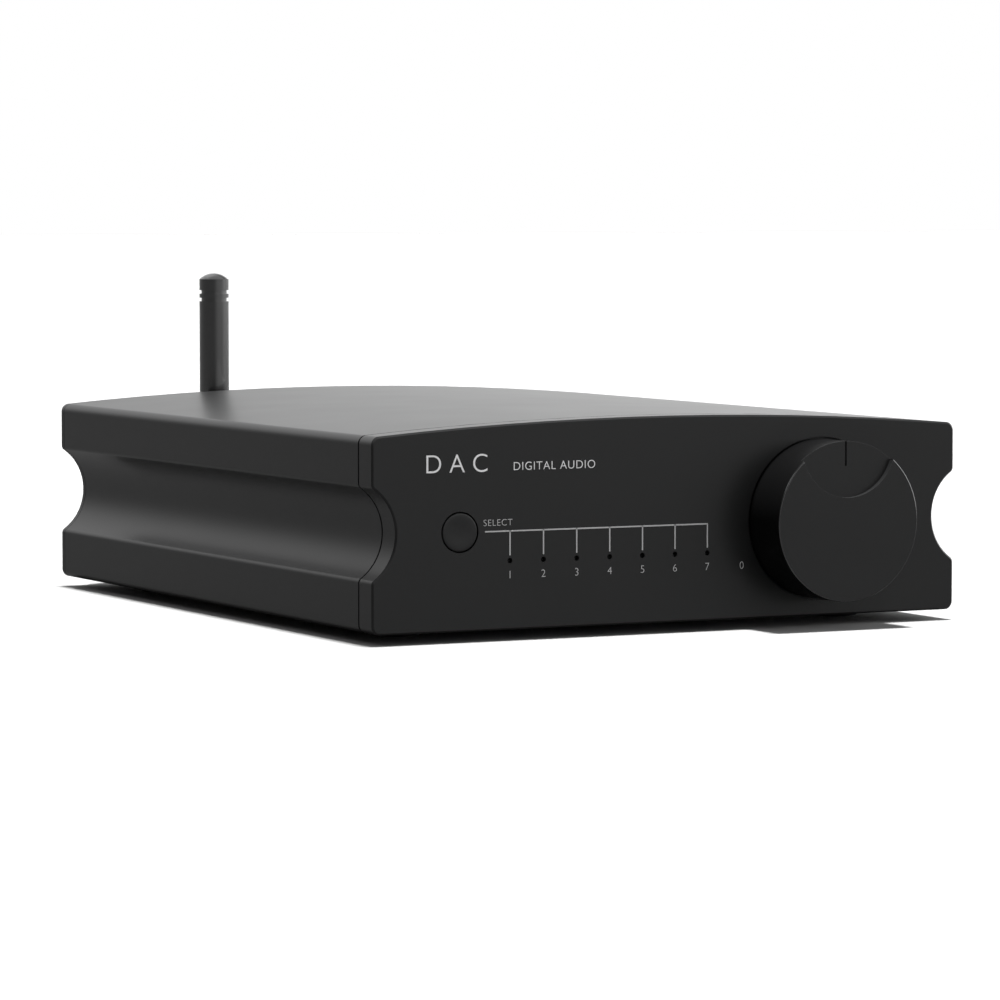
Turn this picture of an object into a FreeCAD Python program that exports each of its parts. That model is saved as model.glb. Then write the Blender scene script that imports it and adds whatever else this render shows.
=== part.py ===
import FreeCAD, Part
import math
import os
import re
import Sketcher
from FreeCAD import Rotation, Vector

# Desktop digital-to-analogue converter in a crowned aluminium sleeve, all sizes in millimetres.
# +X is to the right as seen from the front, +Y to the rear, +Z up.
# The origin is under the middle of the whole object, at the level that its feet stand on.

sizes = {
    # case
    "case_width": 145.0,
    "case_depth": 177.2,
    "side_height": 42.15,
    "crown_rise": 3.1,
    "foot_gap": 2.4,
    "wall": 2.2,
    "corner_radius": 1.9,
    "groove_level": 21.4,
    "control_level": 21.6,
    "groove_chord": 20.0,
    "groove_depth": 5.58,
    "lip_radius": 1.25,
    "face_thick": 6.5,
    "face_edge": 0.4,
    "seam_edge": 0.2,
    "seam_gap": 0.4,
    "seam_depth": 0.6,
    "plate_rim": 2.8,
    "subplate_thick": 1.5,
    "rear_thick": 2.0,
    "boss_size": 5.5,
    "fit_gap": 0.15,
    "run_gap": 0.05,
    # screws
    "screw_radius": 1.25,
    "screw_grip": 8.0,
    "head_radius": 2.3,
    "head_height": 1.5,
    "key_flats": 1.6,
    "key_deep": 0.8,
    "sunk_key_deep": 0.9,
    "stud_inset": 14.5,
    "stud_rise": 7.0,
    "stud_lift": 1.0,
    "stud_skin": 2.0,
    "stud_play": 0.3,
    "overcut": 1.0,
    # feet
    "foot_radius": 6.0,
    "foot_inset": 17.0,
    "foot_setback": 24.0,
    "foot_taper": 0.4,
    "foot_edge": 0.5,
    # volume knob and its potentiometer
    "knob_diameter": 35.4,
    "knob_reach": 12.5,
    "knob_sink": 0.7,
    "well_gap": 0.5,
    "well_depth": 1.5,
    "set_screw_in": 5.0,
    "set_screw_long": 6.0,
    "set_screw_key": 0.6,
    "set_screw_key_deep": 1.5,
    "knob_inset": 35.0,
    "knob_edge": 0.5,
    "knob_cap": 2.0,
    "knob_back_edge": 0.3,
    "knob_wall": 3.5,
    "knob_hollow": 2.0,
    "shaft_play": 0.3,
    "shaft_tail": 5.0,
    "scoop_radius": 12.0,
    "scoop_offset": 17.3,
    "scoop_depth": 1.4,
    "mark_length": 5.0,
    "mark_width": 0.45,
    "mark_depth": 0.4,
    "shaft_radius": 3.0,
    "bushing_radius": 4.5,
    "bushing_reach": 4.6,
    "nut_flats": 12.0,
    "nut_thick": 2.0,
    "washer_thick": 0.5,
    "pot_width": 16.5,
    "pot_height": 19.0,
    "control_gap": 11.0,
    # input button
    "button_inset": 20.8,
    "button_radius": 4.15,
    "button_gap": 0.3,
    "button_travel": 0.5,
    "flange_extra": 0.95,
    "flange_seat": 3.2,
    "flange_thick": 1.0,
    "stem_radius": 1.5,
    "tact_size": 6.0,
    "tact_depth": 3.5,
    "plunger_radius": 1.6,
    "plunger_reach": 1.4,
    # indicator row
    "lamp_offset": 12.0,
    "lamp_pitch": 8.1,
    "lamp_drop": 6.7,
    "lamp_bore": 0.6,
    "pipe_radius": 0.5,
    "pipe_recess": 1.2,
    "pipe_bar": 2.0,
    "pipe_bar_high": 2.8,
    "pipe_bar_past": 3.0,
    "lamp_wide": 1.6,
    "lamp_thick": 0.8,
    "light_post": 1.0,
    # circuit boards
    "board_thick": 1.6,
    "board_play": 0.1,
    "board_side": 0.4,
    "board_front": 9.0,
    "board_rear": 1.0,
    "rail_thick": 1.2,
    "rail_reach": 1.4,
    "control_height": 22.0,
    "control_left": 14.0,
    "control_right": 22.0,
    "spacer_flats": 5.0,
    "spacer_grip": 4.0,
    "spacer_edge": 3.0,
    # rear connectors: distances in from the nearer side, and heights above the main board
    "trs_inset": 15.5,
    "trs_pitch": 15.0,
    "jack_rise": 9.2,
    "rca_inset": 46.5,
    "rca_pitch": 14.0,
    "coax_pitch": 15.0,
    "rocker_inset": 15.5,
    "power_inset": 28.5,
    "usb_inset": 41.5,
    "optical_inset": 56.5,
    "rca_radius": 4.15,
    "rca_wall": 1.2,
    "rca_flange": 5.0,
    "rca_flange_thick": 1.0,
    "rca_root": 3.6,
    "rca_reach": 9.3,
    "rca_hold": 6.0,
    "rca_body_width": 11.0,
    "rca_body_depth": 14.0,
    "rca_body_above": 5.5,
    "rca_contact": 2.2,
    "rca_contact_long": 3.0,
    "insulator_sink": 0.4,
    "body_gap": 0.2,
    "pin_bore": 1.65,
    "trs_bore": 3.2,
    "trs_thread": 4.7,
    "trs_reach": 3.6,
    "trs_depth": 22.0,
    "trs_width": 14.2,
    "trs_height": 17.0,
    "trs_nut_flats": 12.4,
    "trs_nut_thick": 2.6,
    "trs_tip": 1.2,
    "trs_tip_long": 1.6,
    "trs_tip_in": 0.4,
    "usb_width": 12.0,
    "usb_height": 10.9,
    "usb_depth": 16.0,
    "usb_skin": 0.4,
    "usb_mouth_width": 8.9,
    "usb_mouth_height": 8.2,
    "usb_tongue_width": 5.6,
    "usb_tongue_height": 3.2,
    "optical_size": 10.2,
    "optical_mouth": 7.8,
    "optical_depth": 13.0,
    "flap_thick": 0.8,
    "flap_pin": 0.4,
    "barrel_radius": 4.6,
    "barrel_mouth": 2.85,
    "barrel_pin": 1.0,
    "barrel_depth": 9.5,
    "barrel_body_width": 9.2,
    "barrel_body_back": 3.0,
    "barrel_body_high": 13.0,
    "barrel_proud": 1.5,
    "rocker_width": 9.4,
    "rocker_swing": 7.9,
    "rocker_valley": 2.2,
    "rocker_back": 3.0,
    "rocker_tilt": 8.0,
    "rocker_pin": 1.0,
    "rocker_sink": 0.5,
    "rocker_play": 0.2,
    "rocker_room": 6.5,
    "rocker_pin_past": 0.6,
    "switch_wall": 0.8,
    "bezel_rim": 1.3,
    "bezel_thick": 1.6,
    "switch_depth": 14.0,
    # antenna
    "antenna_inset": 47.4,
    "antenna_rise": 23.2,
    "mast_radius": 3.675,
    "mast_height": 41.0,
    "mast_dome": 1.5,
    "ring_depth": 0.5,
    "ring_width": 0.85,
    "ring_first": 4.7,
    "ring_second": 6.6,
    "hinge_reach": 15.0,
    "ear_radius": 3.2,
    "ear_thick": 1.35,
    "tongue_thick": 2.6,
    "hinge_pin": 0.8,
    "thread_radius": 3.15,
    "thread_reach": 8.6,
    "coupling_radius": 4.6,
    "coupling_start": 3.0,
    "coupling_end": 10.4,
    "neck_radius": 2.4,
    "sma_nut_thick": 2.2,
    "sma_nut_flats": 8.0,
    "sma_hold": 3.0,
    "sma_centre": 0.65,
    "sma_centre_deep": 4.0,
    "lead_radius": 0.7,
    "lead_run": 5.0,
    "lead_bend": 10.0,
    "module_rise": 0.8,
    "element_radius": 1.5,
    "element_play": 0.1,
    "element_inset": 4.0,
}

# Places and sizes that follow from the ones above.
places = {
    "half_width": "case_width / 2",
    "case_base": "foot_gap",
    "crown_radius": "(half_width^2 + crown_rise^2) / (2 * crown_rise)",
    "crown_top": "case_base + side_height + crown_rise",
    "crown_centre": "crown_top - crown_radius",
    "groove_radius": "((groove_chord / 2)^2 + groove_depth^2) / (2 * groove_depth)",
    "groove_axis": "half_width - groove_depth + groove_radius",
    "groove_z": "case_base + groove_level",
    "control_z": "case_base + control_level",
    "front_y": "(knob_reach - case_depth - hinge_reach - mast_radius) / 2",
    "seam_y": "front_y + face_thick",
    "subplate_y": "seam_y - subplate_thick",
    "rear_y": "front_y + case_depth",
    "rear_inner": "rear_y - rear_thick",
    "boss_x": "half_width - wall - boss_size / 2",
    "boss_low": "case_base + wall + boss_size / 2",
    "boss_high": "crown_centre + sqrt((crown_radius - wall)^2 - (half_width - wall)^2) - boss_size / 2",
    "stud_x": "half_width - stud_inset",
    "stud_low": "case_base + stud_rise",
    "stud_high": "case_base + side_height - stud_rise + stud_lift",
    "board_z": "case_base + wall + boss_size + board_play",
    "board_top": "board_z + board_thick",
    "board_half": "half_width - wall - board_side",
    "board_y": "front_y + board_front",
    "board_back": "rear_inner - board_rear",
    "control_y": "seam_y + control_gap",
    "control_back": "control_y + board_thick",
    "control_low": "control_z - control_height / 2",
    "knob_x": "half_width - knob_inset",
    "knob_radius": "knob_diameter / 2",
    "nut_room": "nut_flats / 1.732 + 0.6",
    "button_x": "button_inset - half_width",
    "button_z": "control_z - 0.25",
    "flange_radius": "button_radius + flange_extra",
    "flange_y": "flange_seat + fit_gap",
    "plunger_y": "control_y - tact_depth - plunger_reach",
    "lamp_x": "button_x + lamp_offset",
    "lamp_z": "control_z - lamp_drop",
    "jack_z": "board_top + jack_rise",
    "trs_outer_x": "trs_inset - half_width",
    "trs_inner_x": "trs_outer_x + trs_pitch",
    "rca_left_x": "rca_inset - half_width",
    "rca_right_x": "rca_left_x + rca_pitch",
    "coax_x": "rca_right_x + coax_pitch",
    "rocker_x": "half_width - rocker_inset",
    "power_x": "half_width - power_inset",
    "usb_x": "half_width - usb_inset",
    "optical_x": "half_width - optical_inset",
    "power_z": "board_top + 6.5",
    "usb_z": "board_top + usb_height / 2",
    "optical_z": "board_top + optical_size / 2",
    "flap_z": "optical_mouth / 2 - flap_thick / 2 - fit_gap",
    "rca_inner": "rca_radius - rca_wall",
    "switch_half_width": "rocker_width / 2 + rocker_play + switch_wall",
    "switch_half_height": "rocker_swing + rocker_play + switch_wall",
    "antenna_x": "antenna_inset - half_width",
    "antenna_z": "board_top + antenna_rise",
    "fork_half": "tongue_thick / 2 + run_gap + ear_thick",
    "shoulder": "ear_radius + 0.4",
    "lead_start": "rear_inner - 5.0",
    "lead_y": "lead_start - lead_run - lead_bend",
}

jacks = {"left": "rca_left_x", "right": "rca_right_x", "coax": "coax_x"}
trs_places = ["trs_outer_x", "trs_inner_x"]
lamp_count = 7
corner_signs = [(-1, -1), (1, -1), (1, 1), (-1, 1)]
turns = {
    "X": Rotation(Vector(0, 1, 0), 90),
    "Y": Rotation(Vector(1, 0, 0), -90),
    "Z": Rotation(),
}
plane_sides = {"XY_Plane": "", "XZ_Plane": "-", "YZ_Plane": ""}

doc = FreeCAD.newDocument("converter")
sheet = doc.addObject("Spreadsheet::Sheet", "dims")
nodes = []


def fill_sheet():
    for row, (name, number) in enumerate(sizes.items(), start=1):
        sheet.set(f"A{row}", name)
        sheet.set(f"B{row}", str(number))
        sheet.setAlias(f"B{row}", name)
    doc.recompute()


# ---- expressions ----

def full(expression):
    """The expression with each named size and place written out for the sheet."""
    def word(match):
        name = match.group(0)
        if name in places:
            return "(" + full(places[name]) + ")"
        return "dims." + name if name in sizes else name
    return re.sub(r"[A-Za-z_]\w*", word, str(expression))


def value(expression):
    return float(sheet.evalExpression(full(expression)))


def bind(item, **expressions):
    """Bind properties to expressions; x, y and z are the item's position."""
    for name, expression in expressions.items():
        path = "Placement.Base." + name if name in ("x", "y", "z") else name
        item.setExpression(path, full(expression))
    return item


def node(name, item):
    """Name a finished sub-part."""
    item.Label = name
    nodes.append(item)
    return item


# ---- solid primitives and booleans ----

def block(x, y, z, wide, deep, high):
    """A box centred on x, with its front at y and its underside at z."""
    item = doc.addObject("Part::Box", "block")
    bind(item, Length=wide, Width=deep, Height=high)
    return bind(item, x=f"{x} - ({wide}) / 2", y=y, z=z)


def rod(x, y, z, radius, length, along="Y"):
    item = doc.addObject("Part::Cylinder", "rod")
    item.Placement.Rotation = turns[along]
    return bind(item, Radius=radius, Height=length, x=x, y=y, z=z)


def cone(x, y, z, start, end, length):
    """A cone along Y."""
    item = doc.addObject("Part::Cone", "cone")
    item.Placement.Rotation = turns["Y"]
    return bind(item, Radius1=start, Radius2=end, Height=length, x=x, y=y, z=z)


def hexagon(x, y, z, flats, length):
    """A hexagonal bar along Y, given by its width across flats."""
    item = doc.addObject("Part::Prism", "hexagon")
    item.Polygon = 6
    item.Placement.Rotation = turns["Y"]
    return bind(item, Circumradius=f"({flats}) / 1.7320508", Height=length, x=x, y=y, z=z)


def fuse(*items):
    joined = doc.addObject("Part::MultiFuse", "joined")
    joined.Shapes = list(items)
    return joined


def cut(base, *tools):
    result = doc.addObject("Part::Cut", "cut")
    result.Base = base
    result.Tool = tools[0] if len(tools) == 1 else fuse(*tools)
    return result


def together(*items):
    """Separate solids that make one sub-part."""
    group = doc.addObject("Part::Compound", "group")
    group.Links = list(items)
    return group


# ---- sketches and features ----

def new_sketch(body, name, plane="XZ_Plane", offset="0"):
    """A sketch on a plane of the body's own origin, moved by offset along the missing axis."""
    sketch = body.newObject("Sketcher::SketchObject", name)
    support = [part for part in body.Origin.OriginFeatures if part.Role == plane][0]
    sketch.AttachmentSupport = [(support, "")]
    sketch.MapMode = "FlatFace"
    sketch.setExpression("AttachmentOffset.Base.z", full(f"{plane_sides[plane]}({offset})"))
    return sketch


def limit(sketch, kind, where, expression):
    """A dimension in the sketch, bound to an expression."""
    index = sketch.addConstraint(Sketcher.Constraint(kind, *where, value(expression)))
    sketch.setExpression(f"Constraints[{index}]", full(expression))


def draw_loop(sketch, corners, arcs=None):
    """A closed loop through the corners; arcs maps a corner's index to the arc that leaves it."""
    arcs = arcs or {}
    points = [Vector(value(x), value(y), 0) for x, y in corners]
    sides = []
    for index, start in enumerate(points):
        end = points[(index + 1) % len(points)]
        if index in arcs:
            sides.append(draw_arc(sketch, start, end, corners[index], *arcs[index]))
        else:
            sides.append((sketch.addGeometry(Part.LineSegment(start, end)), 1, 2))
    for index, (side, first, last) in enumerate(sides):
        limit(sketch, "DistanceX", (-1, 1, side, first), corners[index][0])
        limit(sketch, "DistanceY", (-1, 1, side, first), corners[index][1])
        after = sides[(index + 1) % len(sides)]
        sketch.addConstraint(Sketcher.Constraint("Coincident", side, last, after[0], after[1]))


def draw_arc(sketch, start, end, corner, centre_x, centre_y, clockwise):
    centre = Vector(value(centre_x), value(centre_y), 0)
    spokes = [point - centre for point in ((end, start) if clockwise else (start, end))]
    angles = [math.atan2(spoke.y, spoke.x) for spoke in spokes]
    circle = Part.Circle(centre, Vector(0, 0, 1), spokes[0].Length)
    side = sketch.addGeometry(Part.ArcOfCircle(circle, *angles))
    radius = f"sqrt(({corner[0]} - ({centre_x}))^2 + ({corner[1]} - ({centre_y}))^2)"
    limit(sketch, "Radius", (side,), radius)
    return (side, 2, 1) if clockwise else (side, 1, 2)


def draw_circle(sketch, x, z, radius):
    centre = Vector(value(x), value(z), 0)
    side = sketch.addGeometry(Part.Circle(centre, Vector(0, 0, 1), value(radius)))
    limit(sketch, "DistanceX", (-1, 1, side, 3), x)
    limit(sketch, "DistanceY", (-1, 1, side, 3), z)
    limit(sketch, "Radius", (side,), radius)


def draw_box(sketch, left, right, low, high):
    draw_loop(sketch, [(left, low), (right, low), (right, high), (left, high)])


def pad(body, sketch, length):
    """Add material from an XZ sketch towards the rear."""
    feature = body.newObject("PartDesign::Pad", "pad")
    feature.Profile = sketch
    feature.Reversed = True
    bind(feature, Length=length)
    return feature


def pocket(body, sketch, length):
    """Cut from an XZ sketch towards the rear, and check that it takes material away."""
    doc.recompute()
    before = body.Shape.Volume
    feature = body.newObject("PartDesign::Pocket", "pocket")
    feature.Profile = sketch
    bind(feature, Length=length)
    doc.recompute()
    if body.Shape.Volume > before - 1e-3:
        raise RuntimeError(f"{body.Label}: {sketch.Label} cuts nothing")
    return feature


def edge_names(feature, test):
    doc.recompute()
    return [f"Edge{number}" for number, edge in enumerate(feature.Shape.Edges, start=1) if test(edge)]


def lengthwise_at(points):
    """A test for edges along Y that pass through one of the XZ points."""
    spots = [(value(x), value(z)) for x, z in points]

    def test(edge):
        box = edge.BoundBox
        if box.XLength > 1e-4 or box.ZLength > 1e-4:
            return False
        return any(abs(box.XMin - x) < 1e-3 and abs(box.ZMin - z) < 1e-3 for x, z in spots)
    return test


def flat_at(y):
    """A test for edges that lie in the plane at y."""
    level = value(y)
    return lambda edge: abs(edge.BoundBox.YMin - level) < 1e-4 and abs(edge.BoundBox.YMax - level) < 1e-4


def soften(body, kind, base, test, size):
    """A fillet or chamfer on the edges of base that pass the test."""
    names = edge_names(base, test)
    if not names:
        raise RuntimeError(f"{body.Label}: no edges to soften")
    feature = body.newObject("PartDesign::" + kind, kind.lower())
    feature.Base = (base, names)
    bind(feature, **{"Radius" if kind == "Fillet" else "Size": size})
    doc.recompute()
    return feature


def turned(corners, at, along="Y", arcs=None):
    """A turned piece; corners are (along, radius) for an axis along Y, (radius, along) along Z."""
    body = doc.addObject("PartDesign::Body", "turned")
    sketch = new_sketch(body, "profile", "YZ_Plane" if along == "Y" else "XZ_Plane")
    draw_loop(sketch, corners, arcs)
    feature = body.newObject("PartDesign::Revolution", "turn")
    feature.Profile = sketch
    feature.ReferenceAxis = (sketch, ["H_Axis" if along == "Y" else "V_Axis"])
    feature.Angle = 360
    return bind(body, x=at[0], y=at[1], z=at[2])


def ring(start, end, inner, outer):
    """Profile corners of a tube, or of a rod where inner is 0."""
    return [(start, inner), (end, inner), (end, outer), (start, outer)]


# ---- case ----

def case_corners(inset):
    """The case's end view, set in evenly: four corners and four groove lips, from the lower left."""
    half = f"(half_width - ({inset}))"
    low = f"case_base + ({inset})"
    top = f"crown_centre + sqrt((crown_radius - ({inset}))^2 - {half}^2)"
    lip = f"sqrt((groove_radius + ({inset}))^2 - (groove_radius - groove_depth + ({inset}))^2)"
    right = [(half, low), (half, f"groove_z - {lip}"), (half, f"groove_z + {lip}"), (half, top)]
    left = [("-" + x, z) for x, z in right]
    return [left[0]] + right + [left[3], left[2], left[1]]


def draw_case(sketch, inset="0"):
    arcs = {
        2: ("groove_axis", "groove_z", True),
        4: ("0", "crown_centre", False),
        6: ("-groove_axis", "groove_z", True),
    }
    draw_loop(sketch, case_corners(inset), arcs)


def case_slab(name, start, length):
    """A body with the case's outline, its long corners and groove lips rounded."""
    body = doc.addObject("PartDesign::Body", name)
    sketch = new_sketch(body, "outline", offset=start)
    draw_case(sketch)
    slab = pad(body, sketch, length)
    points = case_corners("0")
    corners = [points[0], points[1], points[4], points[5]]
    lips = [points[2], points[3], points[6], points[7]]
    rounded = soften(body, "Fillet", slab, lengthwise_at(corners), "corner_radius")
    return body, soften(body, "Fillet", rounded, lengthwise_at(lips), "lip_radius")


def boss_centres():
    heights = {-1: "boss_low", 1: "boss_high"}
    return [(f"{side} * boss_x", heights[level]) for side, level in corner_signs]


def stud_centres():
    heights = {-1: "stud_low", 1: "stud_high"}
    return [(f"{side} * stud_x", heights[level]) for side, level in corner_signs]


def lamp_centres():
    return [(f"lamp_x + {index} * lamp_pitch", "lamp_z") for index in range(lamp_count)]


def holes(body, name, start, length, circles):
    """Round holes cut towards the rear; circles are (x, z, radius)."""
    sketch = new_sketch(body, name, offset=start)
    for circle in circles:
        draw_circle(sketch, *circle)
    return pocket(body, sketch, length)


def window(body, name, x, z, wide, high):
    """A square-cornered opening through the rear panel."""
    sketch = new_sketch(body, name, offset="rear_inner")
    across = [f"{x} - ({wide}) / 2", f"{x} + ({wide}) / 2"]
    draw_box(sketch, *across, f"{z} - ({high}) / 2", f"{z} + ({high}) / 2")
    pocket(body, sketch, "rear_thick")


def body_sleeve():
    length = "rear_inner - seam_y"
    body, slab = case_slab("body_sleeve", "seam_y", length)
    soften(body, "Chamfer", slab, flat_at("rear_inner"), "seam_edge")
    seam = new_sketch(body, "seam", offset="seam_y")
    draw_box(seam, "-half_width - wall", "half_width + wall", "case_base - wall", "crown_top + wall")
    draw_case(seam, "seam_depth")
    pocket(body, seam, "seam_gap")
    hollow = new_sketch(body, "hollow", offset="seam_y")
    draw_case(hollow, "wall")
    pocket(body, hollow, length)
    ribs = new_sketch(body, "ribs", offset="seam_y")
    for side, level in corner_signs:
        x = f"{side} * boss_x"
        z = "boss_low" if level < 0 else "boss_high"
        reach = [f"{x} - {side} * boss_size / 2", f"{x} + {side} * (boss_size + wall) / 2"]
        span = [f"{z} - {level} * boss_size / 2", f"{z} + {level} * (boss_size + wall) / 2"]
        draw_box(ribs, *(reach if side > 0 else reach[::-1]), *(span if level > 0 else span[::-1]))
    pad(body, ribs, length)
    rails = new_sketch(body, "rails", offset="seam_y")
    inner, outer = "(half_width - wall - rail_reach)", "(half_width - wall / 2)"
    low, high = "board_top + board_play", "board_top + board_play + rail_thick"
    draw_box(rails, inner, outer, low, high)
    draw_box(rails, "-" + outer, "-" + inner, low, high)
    pad(body, rails, length)
    screws = [(x, z, "screw_radius + run_gap") for x, z in boss_centres()]
    holes(body, "screw_holes", "seam_y", length, screws)
    node("body_sleeve", body)


def front_panel():
    body, slab = case_slab("front_panel", "front_y", "face_thick")
    softened = soften(body, "Chamfer", slab, flat_at("front_y"), "face_edge")
    soften(body, "Chamfer", softened, flat_at("seam_y"), "seam_edge")
    recess = new_sketch(body, "recess", offset="subplate_y")
    draw_case(recess, "plate_rim")
    pocket(body, recess, "subplate_thick")
    through = [(x, z, "lamp_bore") for x, z in lamp_centres()]
    through.append(("button_x", "button_z", "button_radius + button_gap"))
    through.append(("knob_x", "control_z", "nut_room"))
    holes(body, "openings", "front_y", "face_thick", through)
    holes(body, "knob_well", "front_y", "well_depth", [("knob_x", "control_z", "knob_radius + well_gap")])
    seat = [("button_x", "button_z", "flange_radius + button_gap")]
    holes(body, "flange_room", "front_y + flange_seat", "face_thick - flange_seat", seat)
    heads = [(x, z, "head_radius + button_gap") for x, z in boss_centres()]
    holes(body, "head_room", "subplate_y - head_height - button_gap", "face_thick", heads)
    studs = [(x, z, "screw_radius + run_gap") for x, z in stud_centres()]
    holes(body, "stud_holes", "front_y + stud_skin", "face_thick - stud_skin", studs)
    node("front_panel", body)


def front_subplate():
    body = doc.addObject("PartDesign::Body", "front_subplate")
    sketch = new_sketch(body, "outline", offset="subplate_y")
    draw_case(sketch, "plate_rim + fit_gap")
    pad(body, sketch, "subplate_thick")
    circles = [(x, z, "screw_radius + fit_gap") for x, z in boss_centres() + stud_centres()]
    circles += [(x, z, "lamp_bore") for x, z in lamp_centres()]
    circles.append(("button_x", "button_z", "stem_radius + button_gap"))
    circles.append(("knob_x", "control_z", "bushing_radius + fit_gap"))
    holes(body, "openings", "subplate_y", "subplate_thick", circles)
    node("front_subplate", body)


def rear_panel():
    body, slab = case_slab("rear_slab", "rear_inner", "rear_thick")
    soften(body, "Chamfer", slab, flat_at("rear_y"), "face_edge")
    rounds = [(x, z, "screw_radius + fit_gap") for x, z in boss_centres()]
    rounds += [(x, "jack_z", "rca_root + fit_gap") for x in jacks.values()]
    rounds += [(x, "jack_z", "trs_thread + fit_gap") for x in trs_places]
    rounds.append(("power_x", "power_z", "barrel_radius + fit_gap"))
    rounds.append(("antenna_x", "antenna_z", "thread_radius + run_gap"))
    holes(body, "openings", "rear_inner", "rear_thick", rounds)
    window(body, "usb_window", "usb_x", "usb_z", "usb_width + 2 * fit_gap", "usb_height + 2 * fit_gap")
    window(body, "optical_window", "optical_x", "optical_z", "optical_size + 2 * fit_gap",
           "optical_size + 2 * fit_gap")
    window(body, "switch_window", "rocker_x", "jack_z", "2 * (switch_half_width + fit_gap)",
           "2 * (switch_half_height + fit_gap)")
    sinks = [cone(x, "rear_y - head_height", z, "screw_radius + fit_gap",
                  "head_radius + fit_gap + 0.001", "head_height + 0.001") for x, z in boss_centres()]
    node("rear_panel", cut(body, *sinks))


def case_screws():
    grip = "screw_grip + subplate_thick"
    fronts = []
    studs = []
    rears = []
    for x, z in boss_centres():
        shank = rod(x, "subplate_y", z, "screw_radius", grip)
        head = rod(x, "subplate_y - head_height", z, "head_radius", "head_height")
        socket = hexagon(x, "subplate_y - head_height", z, "key_flats", "key_deep")
        fronts.append(cut(fuse(shank, head), socket))
        sunk = cone(x, "rear_y - head_height", z, "screw_radius", "head_radius", "head_height")
        stem = rod(x, "rear_y - head_height - screw_grip", z, "screw_radius", "screw_grip")
        key = hexagon(x, "rear_y - sunk_key_deep", z, "key_flats", "sunk_key_deep + overcut")
        rears.append(cut(fuse(stem, sunk), key))
    for x, z in stud_centres():
        stem = rod(x, "front_y + stud_skin + stud_play", z, "screw_radius",
                   "face_thick - stud_skin - stud_play")
        head = rod(x, "seam_y", z, "head_radius", "head_height")
        key = hexagon(x, "seam_y + head_height - key_deep", z, "key_flats", "key_deep")
        studs.append(cut(fuse(stem, head), key))
    node("subplate_screws", together(*fronts))
    node("front_panel_screws", together(*studs))
    node("rear_panel_screws", together(*rears))


def feet():
    ends = {-1: "front_y + foot_setback", 1: "rear_y - foot_setback"}
    profile = [("0", "0"), ("foot_radius - 2 * foot_taper", "0"), ("foot_radius - foot_taper", "foot_edge"),
               ("foot_radius", "foot_gap"), ("0", "foot_gap")]
    places_under = [(f"{side} * (half_width - foot_inset)", ends[end], "0") for side, end in corner_signs]
    node("rubber_feet", together(*[turned(profile, place, "Z") for place in places_under]))


# ---- front controls ----

def volume_knob():
    body = doc.addObject("PartDesign::Body", "knob")
    sketch = new_sketch(body, "profile", "YZ_Plane")
    bore = "shaft_radius + run_gap"
    hollow = "knob_radius - knob_wall"
    draw_loop(sketch, [
        ("-knob_reach", "0"),
        ("-knob_reach", "knob_radius - knob_edge"),
        ("knob_edge - knob_reach", "knob_radius"),
        ("knob_sink - knob_back_edge", "knob_radius"),
        ("knob_sink", "knob_radius - knob_back_edge"),
        ("knob_sink", hollow),
        ("knob_sink - knob_hollow", hollow),
        ("knob_sink - knob_hollow", bore),
        ("knob_cap - knob_reach", bore),
        ("knob_cap - knob_reach", "0"),
    ])
    feature = body.newObject("PartDesign::Revolution", "turn")
    feature.Profile = sketch
    feature.ReferenceAxis = (sketch, ["H_Axis"])
    feature.Angle = 360
    holes(body, "scoop", "-knob_reach", "scoop_depth", [("0", "scoop_offset", "scoop_radius")])
    mark = new_sketch(body, "mark", offset="-knob_reach")
    draw_box(mark, "-mark_width / 2", "mark_width / 2", "knob_radius - mark_length",
             "knob_radius + overcut")
    pocket(body, mark, "scoop_depth + mark_depth")
    bind(body, x="knob_x", y="front_y", z="control_z")
    drill = rod("knob_x", "front_y + knob_sink - set_screw_in", "control_z - knob_radius - overcut",
                "screw_radius + run_gap", "knob_radius + overcut", "Z")
    node("volume_knob", cut(body, drill))


def potentiometer():
    at = ("knob_x", "front_y", "control_z")
    shaft_end = "knob_cap - knob_reach + shaft_play"
    seat = "face_thick - subplate_thick"
    bore = "shaft_radius + run_gap"
    node("pot_shaft", turned(ring(shaft_end, "face_thick + shaft_tail", "0", "shaft_radius"), at))
    case = block("knob_x", "seam_y", "control_z - pot_height / 2", "pot_width", "control_gap", "pot_height")
    bushing = rod("knob_x", "subplate_y - bushing_reach", "control_z", "bushing_radius",
                  "bushing_reach + subplate_thick + 0.5")
    well = rod("knob_x", "subplate_y - bushing_reach", "control_z", bore,
               "bushing_reach + subplate_thick + shaft_tail + overcut")
    node("potentiometer", cut(fuse(case, bushing), well))
    washer = ring(f"{seat} - washer_thick", seat, "bushing_radius + run_gap", "nut_flats / 2 + 0.4")
    node("pot_washer", turned(washer, at))
    nut_y = "subplate_y - washer_thick - nut_thick"
    nut = cut(hexagon("knob_x", nut_y, "control_z", "nut_flats", "nut_thick"),
              rod("knob_x", nut_y, "control_z", "bushing_radius + run_gap", "nut_thick"))
    node("pot_nut", nut)
    foot = ("knob_x", "front_y + knob_sink - set_screw_in", "control_z - shaft_radius - 0.1 - set_screw_long")
    screw = rod(*foot, "screw_radius", "set_screw_long", "Z")
    key = rod(*foot, "set_screw_key", "set_screw_key_deep", "Z")
    node("knob_set_screw", cut(screw, key))


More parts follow.
